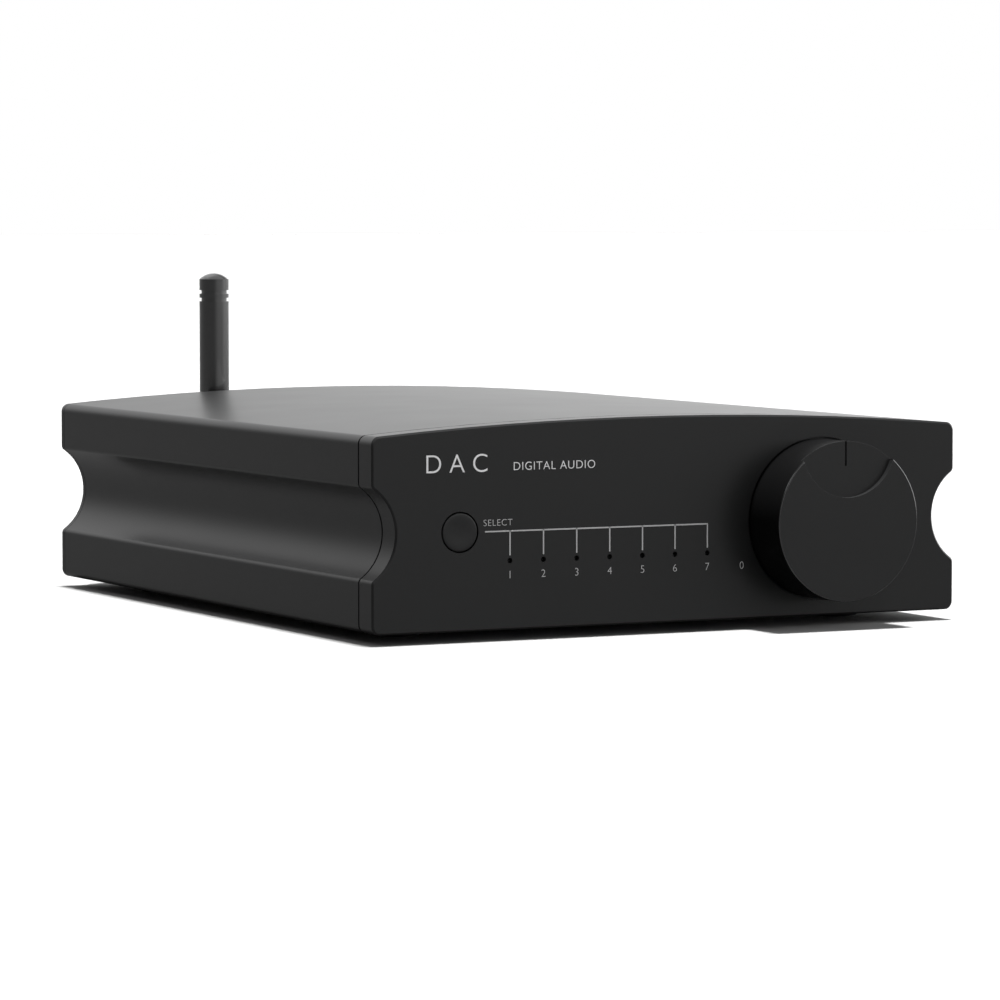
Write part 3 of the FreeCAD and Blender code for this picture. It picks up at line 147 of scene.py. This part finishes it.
finishes = {
    "case_black": {
        "name": "blackAnodised", "dark": (0.0158, 0.0160, 0.0163), "light": (0.0172, 0.0174, 0.0177),
        "rough": (0.3, 0.315), "specular": 0.28, "grain": 7000.0, "bump": 0.05, "lift": 0.00004,
        "wear": (0.05, 0.05, 0.052), "wearRadius": 0.0002, "wearAmount": 0.15, "dust": 0.01,
    },
    # painted highlight: a brighter, shinier metal copy of the black finish, for the knob's front rim edges
    "knob_edge": {
        "name": "knobEdgePaintedHighlight", "dark": (0.1, 0.1, 0.102), "light": (0.15, 0.15, 0.152), "metal": 1.0,
        "rough": (0.18, 0.26), "grain": 7000.0, "bump": 0.03, "lift": 0.00002,
    },
    # painted shade: a darker copy of the black finish, for the knob's wall
    "knob_side_painted_shade": {
        "name": "knobSidePaintedShade", "dark": (0.004, 0.004, 0.0041), "light": (0.0052, 0.0052, 0.0053),
        "rough": (0.3, 0.34), "specular": 0.12, "grain": 7000.0, "bump": 0.05, "lift": 0.00004,
    },
    "plate_steel": {
        "name": "platedSteel", "dark": (0.36, 0.36, 0.37), "light": (0.5, 0.5, 0.51), "metal": 1.0,
        "rough": (0.25, 0.42), "lay": True, "bump": 0.08, "lift": 0.00003,
        "wear": (0.7, 0.7, 0.7), "wearAmount": 0.4,
    },
    "screw_black": {
        "name": "blackOxideScrew", "dark": (0.012, 0.012, 0.013), "light": (0.022, 0.022, 0.024),
        "metal": 0.6, "rough": (0.32, 0.5), "bump": 0.1, "lift": 0.00002,
        "wear": (0.18, 0.17, 0.16), "wearAmount": 0.8,
    },
    "screw_plain": {
        "name": "zincScrew", "dark": (0.42, 0.43, 0.44), "light": (0.6, 0.6, 0.6), "metal": 1.0,
        "rough": (0.22, 0.4), "bump": 0.08, "lift": 0.00002, "wear": (0.75, 0.75, 0.75), "wearAmount": 0.4,
    },
    "rubber_black": {
        "name": "footRubber", "dark": (0.008, 0.008, 0.008), "light": (0.016, 0.016, 0.0155),
        "rough": (0.7, 0.88), "specular": 0.3, "grain": 3500.0, "bump": 0.25, "lift": 0.00006, "dust": 0.05,
    },
    "plastic_black": {
        "name": "mouldedBlack", "dark": (0.009, 0.009, 0.0095), "light": (0.015, 0.015, 0.016),
        "rough": (0.42, 0.55), "grain": 4500.0, "bump": 0.16, "lift": 0.00005,
        "wear": (0.05, 0.05, 0.05), "wearAmount": 0.4, "dust": 0.02,
    },
    "antenna_black": {
        "name": "antennaSleeve", "dark": (0.011, 0.011, 0.0114), "light": (0.013, 0.013, 0.0134),
        "rough": (0.2, 0.24), "specular": 1.0, "coat": 0.8, "grain": 5200.0, "bump": 0.06, "lift": 0.00003,
        "wear": (0.05, 0.05, 0.05), "wearAmount": 0.3,
    },
    "gold": {
        "name": "goldPlate", "dark": (0.68, 0.44, 0.14), "light": (0.83, 0.58, 0.24), "metal": 1.0,
        "rough": (0.16, 0.28), "lay": True, "bump": 0.05, "lift": 0.00002,
        "wear": (0.9, 0.75, 0.45), "wearAmount": 0.3,
    },
    "nickel": {
        "name": "nickelPlate", "dark": (0.45, 0.44, 0.42), "light": (0.62, 0.61, 0.58), "metal": 1.0,
        "rough": (0.18, 0.32), "lay": True, "bump": 0.06, "lift": 0.00002,
        "wear": (0.8, 0.8, 0.78), "wearAmount": 0.3,
    },
    "plastic_white": {
        "name": "ivoryInsulator", "dark": (0.62, 0.61, 0.58), "light": (0.74, 0.73, 0.7),
        "rough": (0.4, 0.5), "grain": 4000.0, "bump": 0.08, "lift": 0.00004,
    },
    "plastic_red": {
        "name": "redInsulator", "dark": (0.38, 0.012, 0.012), "light": (0.52, 0.02, 0.018),
        "rough": (0.38, 0.5), "grain": 4000.0, "bump": 0.08, "lift": 0.00004,
    },
    "plastic_orange": {
        "name": "orangeInsulator", "dark": (0.58, 0.17, 0.01), "light": (0.74, 0.25, 0.02),
        "rough": (0.38, 0.5), "grain": 4000.0, "bump": 0.08, "lift": 0.00004,
    },
    "light_clear": {
        "name": "clearLightGuide", "dark": (0.05, 0.052, 0.055), "light": (0.09, 0.092, 0.096),
        "rough": (0.12, 0.22), "grain": 2500.0, "bump": 0.04, "lift": 0.00003, "through": 0.55,
    },
    "lamp_white": {
        "name": "lampBody", "dark": (0.5, 0.49, 0.42), "light": (0.64, 0.63, 0.55),
        "rough": (0.3, 0.42), "grain": 3000.0, "bump": 0.06, "lift": 0.00003,
    },
    "board_green": {
        "name": "boardGreen", "dark": (0.004, 0.035, 0.016), "light": (0.01, 0.075, 0.034),
        "rough": (0.28, 0.42), "grain": 2200.0, "mottle": 260.0, "bump": 0.2, "lift": 0.00006, "coat": 0.4,
    },
    "chip_black": {
        "name": "chipEpoxy", "dark": (0.012, 0.012, 0.012), "light": (0.024, 0.024, 0.023),
        "rough": (0.5, 0.66), "grain": 6000.0, "bump": 0.2, "lift": 0.00004,
    },
    "can_dark": {
        "name": "capacitorSleeve", "dark": (0.012, 0.014, 0.03), "light": (0.02, 0.023, 0.05),
        "rough": (0.2, 0.32), "grain": 1800.0, "bump": 0.06, "lift": 0.00003, "coat": 0.3,
    },
    "film_red": {
        "name": "filmCapacitorRed", "dark": (0.3, 0.02, 0.012), "light": (0.42, 0.035, 0.02),
        "rough": (0.3, 0.42), "grain": 2500.0, "bump": 0.1, "lift": 0.00004,
    },
    "sink_black": {
        "name": "heatSinkBlack", "dark": (0.012, 0.012, 0.013), "light": (0.02, 0.02, 0.021), "metal": 0.5,
        "rough": (0.45, 0.6), "lay": True, "bump": 0.12, "lift": 0.00003,
        "wear": (0.2, 0.2, 0.2), "wearAmount": 0.5,
    },
    "front_ink": {
        "name": "printInk", "dark": (0.48, 0.48, 0.485), "light": (0.62, 0.62, 0.625),
        "rough": (0.5, 0.62), "grain": 9000.0, "bump": 0.06, "lift": 0.00002,
    },
    "title_ink": {
        "name": "titleInk", "dark": (0.86, 0.86, 0.865), "light": (0.93, 0.93, 0.935),
        "rough": (0.45, 0.58), "grain": 9000.0, "bump": 0.06, "lift": 0.00002,
    },
}


def blendColour(tree, mask, low, high):
    mixed = addNode(tree, "ShaderNodeMix", {"data_type": "RGBA"}, {0: mask})
    for index, value in ((6, low), (7, high)):
        if isinstance(value, bpy.types.NodeSocket):
            tree.links.new(value, mixed.inputs[index])
        else:
            mixed.inputs[index].default_value = (*value, 1.0)
    return mixed.outputs[2]


dustColour = (0.35, 0.34, 0.33)
usual = {"grain": 5000.0, "mottle": 45.0, "wearRadius": 0.0002, "metal": 0.0, "specular": 0.5, "coat": 0.0,
         "through": 0.0, "lay": False}


# one material from a row of the finishes; what the row leaves out is as in usual
def makeFinish(given):
    s = {**usual, **given}
    material = bpy.data.materials.new(s["name"])
    material.use_nodes = True
    tree = material.node_tree
    shader = tree.nodes["Principled BSDF"]
    grain = addNode(tree, "ShaderNodeGroup", {"node_tree": grainGroup},
                    {"Grain Scale": s["grain"], "Mottle Scale": s["mottle"]})
    mottle = grain.outputs["Mottle"]
    colour = blendColour(tree, mottle, s["dark"], s["light"])
    if "wear" in s:
        wear = addNode(tree, "ShaderNodeGroup", {"node_tree": wearGroup},
                       {"Radius": s["wearRadius"], "Amount": s["wearAmount"]})
        colour = blendColour(tree, wear.outputs["Mask"], colour, s["wear"])
    if "dust" in s:
        dust = addNode(tree, "ShaderNodeGroup", {"node_tree": dustGroup}, {"Amount": s["dust"]})
        colour = blendColour(tree, dust.outputs["Mask"], colour, dustColour)
    tree.links.new(colour, shader.inputs["Base Color"])
    low, high = s["rough"]
    rough = addNode(tree, "ShaderNodeMapRange", None,
                    {"Value": mottle, "From Min": 0.3, "From Max": 0.7, "To Min": low, "To Max": high})
    tree.links.new(rough.outputs[0], shader.inputs["Roughness"])
    height = grain.outputs["Grain"]
    if s["lay"]:
        height = addNode(tree, "ShaderNodeGroup", {"node_tree": layGroup}).outputs["Lay"]
    bump = addNode(tree, "ShaderNodeBump", None,
                   {"Strength": s["bump"], "Distance": s["lift"], "Height": height})
    tree.links.new(bump.outputs["Normal"], shader.inputs["Normal"])
    shader.inputs["Metallic"].default_value = s["metal"]
    shader.inputs["Specular IOR Level"].default_value = s["specular"]
    shader.inputs["Coat Weight"].default_value = s["coat"]
    shader.inputs["Transmission Weight"].default_value = s["through"]
    return material


made = {slot: makeFinish(s) for slot, s in finishes.items()}
for node in nodes.values():
    for place in node.material_slots:
        place.material = made[place.material.name.split(".")[0]]
print("finishes made:", len(made))


# pieces are modelled in millimetres and then brought to metres where they stand

def newPiece(name, mesh):
    piece = bpy.data.objects.new(name, mesh)
    bpy.context.scene.collection.objects.link(piece)
    return piece


# applies the modifiers, goes from millimetres to metres, and evens out the shading over large flat faces
def settle(piece, smoothAngle=32.0):
    graph = bpy.context.evaluated_depsgraph_get()
    mesh = bpy.data.meshes.new_from_object(piece.evaluated_get(graph))
    piece.modifiers.clear()
    piece.data = mesh
    mesh.transform(Matrix.Scale(mm, 4))
    mesh.shade_smooth()
    mesh.set_sharp_from_angle(angle=math.radians(smoothAngle))
    lean = piece.modifiers.new("lean", "WEIGHTED_NORMAL")
    lean.keep_sharp = True
    graph = bpy.context.evaluated_depsgraph_get()
    leaned = bpy.data.meshes.new_from_object(piece.evaluated_get(graph))
    piece.modifiers.clear()
    piece.data = leaned
    return piece


# turns a profile of radius and depth about a line along Y; one flat face closes each end
def revolve(name, profile, steps, centreX, centreZ):
    shape = bmesh.new()
    rings = []
    turn = [2 * math.pi * i / steps for i in range(steps)]
    for radius, y in profile:
        rings.append([shape.verts.new((centreX + radius * math.cos(a), y, centreZ + radius * math.sin(a)))
                      for a in turn])
    for near, far in zip(rings, rings[1:]):
        for i in range(steps):
            j = (i + 1) % steps
            shape.faces.new((near[i], near[j], far[j], far[i]))
    for cap in (rings[0], rings[-1]):
        shape.faces.new(cap)
    bmesh.ops.recalc_face_normals(shape, faces=shape.faces)
    mesh = bpy.data.meshes.new(name)
    shape.to_mesh(mesh)
    shape.free()
    return newPiece(name, mesh)


def boxPiece(name, low, high):
    shape = bmesh.new()
    bmesh.ops.create_cube(shape, size=1.0)
    size = Vector(high) - Vector(low)
    middle = (Vector(high) + Vector(low)) / 2
    move = Matrix.Translation(middle) @ Matrix.Diagonal((*size, 1))
    bmesh.ops.transform(shape, matrix=move, verts=shape.verts)
    mesh = bpy.data.meshes.new(name)
    shape.to_mesh(mesh)
    shape.free()
    return newPiece(name, mesh)


def quarter(centreR, centreY, radius, start, end, steps=6):
    turn = [math.radians(start + (end - start) * i / steps) for i in range(steps + 1)]
    return [(centreR + radius * math.cos(a), centreY + radius * math.sin(a)) for a in turn]


# volume knob
knob = {"rim": 0.3, "backRim": 0.3, "bore": 3.05, "boreSkin": 2.2, "hollow": 3.5, "hollowDeep": 2.0,
        "scoopRadius": 12.0, "scoopOffset": 17.3, "scoopDepth": 1.4, "markLong": 5.0, "markWide": 0.45,
        "markDeep": 0.4, "markDrop": 0.5, "screwHole": 1.3, "holeDeep": 9.0, "holeSteps": 40,
        "edge": 0.12, "edgeAngle": 50.0, "wallBand": 0.15, "edgeBand": 0.3, "leanLeast": 0.3,
        "leanMost": 0.95, "past": 3.0, "steps": 224}


def makeKnob(s):
    low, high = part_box("volume_knob")
    x, z = (low.x + high.x) / 2 / mm, (low.z + high.z) / 2 / mm
    radius, face, back = (high.x - low.x) / 2 / mm, low.y / mm, high.y / mm
    profile = [(s["bore"], face + s["boreSkin"])]
    profile += [(s["bore"], back - s["hollowDeep"]), (radius - s["hollow"], back - s["hollowDeep"])]
    profile += [(radius - s["hollow"], back)]
    profile += quarter(radius - s["backRim"], back - s["backRim"], s["backRim"], 90, 0)
    profile += quarter(radius - s["rim"], face + s["rim"], s["rim"], 0, -90)
    piece = revolve("volumeKnob", profile, s["steps"], x, z)
    deep = face + s["scoopDepth"]
    before, top = face - s["past"], z + radius
    cutters = [revolve("scoop", [(s["scoopRadius"], before), (s["scoopRadius"], deep)],
                       s["steps"], x, z + s["scoopOffset"])]
    cutters.append(boxPiece("mark", (x - s["markWide"] / 2, before, top - s["markDrop"] - s["markLong"]),
                            (x + s["markWide"] / 2, deep + s["markDeep"], top + s["past"])))
    hole = revolve("hole", [(s["screwHole"], -s["past"]), (s["screwHole"], s["holeDeep"])],
                   s["holeSteps"], 0, 0)
    screwLow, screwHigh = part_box("knob_set_screw")
    screwY = (screwLow.y + screwHigh.y) / 2 / mm
    hole.data.transform(Matrix.Translation((x, screwY, low.z / mm)) @ Matrix.Rotation(math.pi / 2, 4, "X"))
    cutters.append(hole)
    for cutter in cutters:
        cut = piece.modifiers.new("cut", "BOOLEAN")
        cut.operation, cut.object, cut.solver = "DIFFERENCE", cutter, "EXACT"
    edge = piece.modifiers.new("edge", "BEVEL")
    edge.width, edge.segments = s["edge"], 2
    edge.limit_method, edge.angle_limit = "ANGLE", math.radians(s["edgeAngle"])
    settle(piece)
    for cutter in cutters:
        bpy.data.objects.remove(cutter)
    piece.data.materials.clear()
    for finish in ("case_black", "knob_side_painted_shade", "knob_edge"):
        piece.data.materials.append(made[finish])
    for side in piece.data.polygons:   # painted shade: the wall gets a darker copy of the black finish; painted highlight: the front rim edges get a brighter, shinier metal copy
        out = Vector((side.center.x / mm - x, side.center.z / mm - z)).length
        level = side.center.y / mm
        lean = abs(side.normal.y)
        front = level < face + s["rim"] or (out > radius - s["edgeBand"] and level < deep + 2 * s["edge"])
        if out > radius - s["wallBand"] and lean < s["leanLeast"]:
            side.material_index = 1
        elif front and s["leanLeast"] < lean < s["leanMost"]:
            side.material_index = 2
    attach(piece, "knob")
    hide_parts("volume_knob")
    return piece


makeKnob(knob)
print("knob made")

# input button: a shallow dish with a rounded rim, and the flange and stem behind it
button = {"dish": 0.05, "flat": 0.6, "land": 0.5, "rim": 0.25, "lip": 0.95, "flangeFrom": 3.35,
          "flangeThick": 1.0, "stem": 1.5, "dishSteps": 10, "steps": 96}


def makeButton(s):
    low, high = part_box("input_button")
    x, z = (low.x + high.x) / 2 / mm, (low.z + high.z) / 2 / mm
    face, end, flange = low.y / mm, high.y / mm, (high.x - low.x) / 2 / mm
    radius = flange - s["lip"]
    outer = radius - s["rim"] - s["land"]
    profile = []
    for i in range(s["dishSteps"] + 1):
        r = s["flat"] + (outer - s["flat"]) * i / s["dishSteps"]
        along = (r - s["flat"]) / (outer - s["flat"])
        profile.append((r, face + s["dish"] * (1 + math.cos(math.pi * along)) / 2))
    profile += quarter(radius - s["rim"], face + s["rim"], s["rim"], -90, 0)
    profile += [(radius, face + s["flangeFrom"]), (flange, face + s["flangeFrom"])]
    behind = face + s["flangeFrom"] + s["flangeThick"]
    profile += [(flange, behind), (s["stem"], behind), (s["stem"], end)]
    piece = revolve("inputButton", profile, s["steps"], x, z)
    settle(piece)
    piece.data.materials.clear()
    piece.data.materials.append(made["case_black"])
    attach(piece, "button")
    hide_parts("input_button")


makeButton(button)
print("button made")

# print on the front: a rule with a drop to each lamp, numerals, and plain words
legend = {"raise": 0.03, "spacing": 1.1, "wideSpacing": 1.55, "wideFrom": 3.0, "thin": -0.16,
          "titleThin": -0.1, "draft": 10.0,
          "rule": 0.3, "ruleZ": 23.7, "ruleFrom": -45.7, "ruleTo": 8.87, "dropTo": 18.44,
          "firstLamp": -39.7, "lampPitch": 8.1, "lamps": 7, "numeral": 1.6, "numeralZ": 14.3}
# each row is the word, its height, the place of its middle and its ink
words = [(str(i + 1), legend["numeral"], legend["firstLamp"] + i * legend["lampPitch"], legend["numeralZ"],
          "front_ink") for i in range(legend["lamps"])]
words += [("SELECT", 1.35, -42.6, 25.6, "front_ink"), ("0", 1.6, 17.6, 14.3, "front_ink"),
          ("10", 1.6, 58.3, 14.1, "front_ink"), ("DAC", 3.9, -52.4, 38.5, "title_ink"),
          ("DIGITAL AUDIO", 1.75, -28.9, 37.6, "title_ink")]


def makeDropTree():
    tree = bpy.data.node_groups.new("lampDrops", "GeometryNodeTree")
    face = tree.interface
    face.new_socket(name="Geometry", in_out="OUTPUT", socket_type="NodeSocketGeometry")
    for label, kind in (("Count", "Int"), ("Pitch", "Float"), ("Start", "Vector"), ("Size", "Vector"),
                        ("Ink", "Material")):
        face.new_socket(name=label, in_out="INPUT", socket_type="NodeSocket" + kind)
    given, result = tree.nodes.new("NodeGroupInput"), tree.nodes.new("NodeGroupOutput")
    step = addNode(tree, "ShaderNodeCombineXYZ", None, {"X": given.outputs["Pitch"]})
    row = addNode(tree, "GeometryNodeMeshLine", {"mode": "OFFSET"},
                  {"Count": given.outputs["Count"], "Start Location": given.outputs["Start"],
                   "Offset": step.outputs[0]})
    bar = addNode(tree, "GeometryNodeMeshCube", None, {"Size": given.outputs["Size"]})
    placed = addNode(tree, "GeometryNodeInstanceOnPoints", None,
                     {"Points": row.outputs[0], "Instance": bar.outputs[0]})
    real = addNode(tree, "GeometryNodeRealizeInstances", None, {"Geometry": placed.outputs[0]})
    inked = addNode(tree, "GeometryNodeSetMaterial", None,
                    {"Geometry": real.outputs[0], "Material": given.outputs["Ink"]})
    tree.links.new(inked.outputs[0], result.inputs["Geometry"])
    return tree


def grow(piece, tree, values):
    modifier = piece.modifiers.new("grow", "NODES")
    modifier.node_group = tree
    for item in tree.interface.items_tree:
        if item.item_type == "SOCKET" and item.in_out == "INPUT" and item.name in values:
            modifier[item.identifier] = values[item.name]
    piece.update_tag()
    bpy.context.view_layer.update()


def makeLegend(s):
    y = frontY - s["raise"] / 2
    drops = newPiece("lampDrops", bpy.data.meshes.new("lampDrops"))
    tall = s["ruleZ"] - s["dropTo"] + s["rule"] / 2
    grow(drops, makeDropTree(), {
        "Count": s["lamps"], "Pitch": s["lampPitch"], "Ink": made["front_ink"],
        "Start": (s["firstLamp"], y, s["dropTo"] + tall / 2), "Size": (s["rule"], s["raise"], tall)})
    settle(drops)
    rule = boxPiece("lampRule", (s["ruleFrom"], frontY - s["raise"], s["ruleZ"] - s["rule"] / 2),
                    (s["ruleTo"], frontY, s["ruleZ"] + s["rule"] / 2))
    settle(rule)
    rule.data.materials.append(made["front_ink"])
    for piece in (drops, rule):
        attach(piece, "chassis")


# the rear words stand under what they name, and the aerial's is above its nut
rearWords = {"high": 1.5, "z": 8.2, "aerialZ": 42.6,
             "under": {"POWER": "switch_housing", "DC IN": "power_inlet", "DATA": "usb_shell",
                       "OPTICAL": "optical_housing", "COAX": "phono_coax_insulator",
                       "RIGHT": "phono_right_insulator", "LEFT": "phono_left_insulator",
                       "LINE OUT": "balanced_jacks"}}
facing = {"front": Matrix(((1, 0, 0, 0), (0, 0, -1, 0), (0, 1, 0, 0), (0, 0, 0, 1))),
          "rear": Matrix(((-1, 0, 0, 0), (0, 0, 1, 0), (0, 1, 0, 0), (0, 0, 0, 1)))}


def rearRows(s):
    rows = []
    for text, node in s["under"].items():
        low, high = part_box(node)
        rows.append((text, s["high"], (low.x + high.x) / 2 / mm, s["z"], "front_ink"))
    low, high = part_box("antenna_nut")
    rows.append(("AERIAL", s["high"], (low.x + high.x) / 2 / mm, s["aerialZ"], "front_ink"))
    return rows


# sets each word flat, brings it to its height about its middle, and stands it on the front or the rear
def makeWords(s, rows, face, y):
    for index, (text, high, x, z, ink) in enumerate(rows):
        curve = bpy.data.curves.new("words", "FONT")
        curve.body, curve.size, curve.extrude = text, s["draft"], 1.0
        curve.offset = s["thin"] if ink == "front_ink" else s["titleThin"]
        curve.space_character = s["wideSpacing"] if high > s["wideFrom"] else s["spacing"]
        holder = newPiece("words", curve)
        graph = bpy.context.evaluated_depsgraph_get()
        mesh = bpy.data.meshes.new_from_object(holder.evaluated_get(graph))
        bpy.data.objects.remove(holder)
        points = [v.co for v in mesh.vertices]
        lowX, highX = min(p.x for p in points), max(p.x for p in points)
        lowY, highY = min(p.y for p in points), max(p.y for p in points)
        scale = high / (highY - lowY)
        mesh.transform(Matrix.Translation((-(lowX + highX) / 2, -(lowY + highY) / 2, 0)))
        mesh.transform(Matrix.Diagonal((scale, scale, s["raise"] / 2, 1)))
        mesh.transform(Matrix.Translation((x, y, z)) @ facing[face])
        mesh.transform(Matrix.Scale(mm, 4))
        mesh.materials.clear()
        mesh.materials.append(made[ink])
        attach(newPiece(f"{face}Word{index + 1}", mesh), "chassis")


makeLegend(legend)
makeWords(legend, words, "front", frontY - legend["raise"] / 2)
makeWords(legend, rearRows(rearWords), "rear", rearY + legend["raise"] / 2)
print("print made")

# studio
studio = {"base": 0.145, "floorSeen": 0.33, "floorBounce": 0.06, "floorStep": 0.02, "floorReach": 9,
          # each glow is the way it lies, the cosines where it starts and is full, and its strength
          "glows": [((0.77, 0.64, 0.0), 0.75, 1.0, 1.35), ((0.64, -0.77, 0.0), 0.4, 0.95, 1.22),
                    ((-0.05, 0.82, 0.57), 0.78, 0.98, 0.7), ((0.996, -0.087, 0.0), 0.7, 0.98, 1.7),
                    ((-0.45, 0.89, 0.0), 0.75, 0.98, 0.16)],
          "sun": 10.0, "sunSpread": 6.0, "sunTilt": (0.0, 0.03), "topPower": 2.4, "topSize": 1.3,
          "topAt": (0.15, 0.25, 1.25), "topAim": (0, 0, 0),
          "leftPower": 1.6, "leftSize": (0.9, 0.5), "leftAt": (-0.85, 0.0, 0.9), "leftAim": (0, 0, 0.02),
          "floorGrain": 700.0, "floorMottle": 2.0, "floorRough": 0.85, "floorShine": 0.1}


def aim(stands, looks):
    return (Vector(looks) - Vector(stands)).to_track_quat("-Z", "Y").to_euler()


def makeStudio(s):
    world = bpy.data.worlds.new("studio")
    bpy.context.scene.world = world
    world.use_nodes = True
    tree = world.node_tree
    tree.nodes.clear()
    way = addNode(tree, "ShaderNodeTexCoord").outputs["Generated"]
    level = addNode(tree, "ShaderNodeValue").outputs[0]
    level.default_value = s["base"]
    for lies, start, full, strength in s["glows"]:
        toward = addNode(tree, "ShaderNodeVectorMath", {"operation": "DOT_PRODUCT"}, {0: way, 1: lies})
        glow = addNode(tree, "ShaderNodeMapRange", {"interpolation_type": "SMOOTHSTEP"},
                       {"Value": toward.outputs["Value"], "From Min": start, "From Max": full,
                        "To Max": strength})
        total = addNode(tree, "ShaderNodeMath", {"operation": "ADD"}, {0: level, 1: glow.outputs[0]})
        level = total.outputs[0]
    white = (1, 1, 1, 1)
    soft = addNode(tree, "ShaderNodeBackground", None, {"Color": white, "Strength": level})
    clean = addNode(tree, "ShaderNodeBackground", None, {"Color": white, "Strength": 1.0})
    seen = addNode(tree, "ShaderNodeLightPath").outputs["Is Camera Ray"]
    both = addNode(tree, "ShaderNodeMixShader", None, {0: seen, 1: soft.outputs[0], 2: clean.outputs[0]})
    out = addNode(tree, "ShaderNodeOutputWorld")
    tree.links.new(both.outputs[0], out.inputs["Surface"])
    light = bpy.data.lights.new("topSoftbox", "AREA")
    light.shape, light.size, light.energy = "SQUARE", s["topSize"], s["topPower"]
    lamp = bpy.data.objects.new("topSoftbox", light)
    lamp.location = s["topAt"]
    lamp.rotation_euler = aim(s["topAt"], s["topAim"])
    bpy.context.scene.collection.objects.link(lamp)
    side = bpy.data.lights.new("leftSoftbox", "AREA")
    side.shape, side.energy = "RECTANGLE", s["leftPower"]
    side.size, side.size_y = s["leftSize"]
    stand = bpy.data.objects.new("leftSoftbox", side)
    stand.location = s["leftAt"]
    stand.rotation_euler = aim(s["leftAt"], s["leftAim"])
    bpy.context.scene.collection.objects.link(stand)
    sky = bpy.data.lights.new("skyLight", "SUN")
    sky.energy, sky.angle = s["sun"], math.radians(s["sunSpread"])
    high = bpy.data.objects.new("skyLight", sky)
    high.rotation_euler = (*s["sunTilt"], 0)
    high.visible_glossy = False   # lights the floor without a hard glint on the case's edges
    bpy.context.scene.collection.objects.link(high)
    mesh = bpy.data.meshes.new("floor")
    reach = s["floorReach"]
    mesh.from_pydata([(-reach, -reach, 0), (reach, -reach, 0), (reach, reach, 0), (-reach, reach, 0)], [],
                     [(0, 1, 2, 3)])
    floor = bpy.data.objects.new("floor", mesh)
    bpy.context.scene.collection.objects.link(floor)
    paper = bpy.data.materials.new("paleSweep")
    paper.use_nodes = True
    shader = paper.node_tree.nodes["Principled BSDF"]
    grain = addNode(paper.node_tree, "ShaderNodeGroup", {"node_tree": grainGroup},
                    {"Grain Scale": s["floorGrain"], "Mottle Scale": s["floorMottle"]})
    mottle = grain.outputs["Mottle"]
    steps = (0, s["floorStep"])
    bounced = blendColour(paper.node_tree, mottle, *[(s["floorBounce"] + step,) * 3 for step in steps])
    shown = blendColour(paper.node_tree, mottle, *[(s["floorSeen"] + step,) * 3 for step in steps])
    seen = addNode(paper.node_tree, "ShaderNodeLightPath").outputs["Is Camera Ray"]
    tone = blendColour(paper.node_tree, seen, bounced, shown)
    paper.node_tree.links.new(tone, shader.inputs["Base Color"])
    shader.inputs["Roughness"].default_value = s["floorRough"]
    shader.inputs["Specular IOR Level"].default_value = s["floorShine"]
    mesh.materials.append(paper)


makeStudio(studio)

# camera
view = {"lens": 170.86, "sensor": 36.0, "at": (-0.502086, -0.996816, 0.096101),
        "pitch": 0.064602, "turn": 0.470178, "near": 0.05, "far": 60.0}
lens = bpy.data.cameras.new("view")
lens.lens, lens.sensor_width = view["lens"], view["sensor"]
lens.clip_start, lens.clip_end = view["near"], view["far"]
camera = bpy.data.objects.new("view", lens)
camera.location = view["at"]
camera.rotation_euler = (math.pi / 2 - view["pitch"], 0, -view["turn"])
bpy.context.scene.collection.objects.link(camera)
bpy.context.scene.camera = camera
bpy.context.scene.view_settings.view_transform = "Standard"
print("studio and camera made")
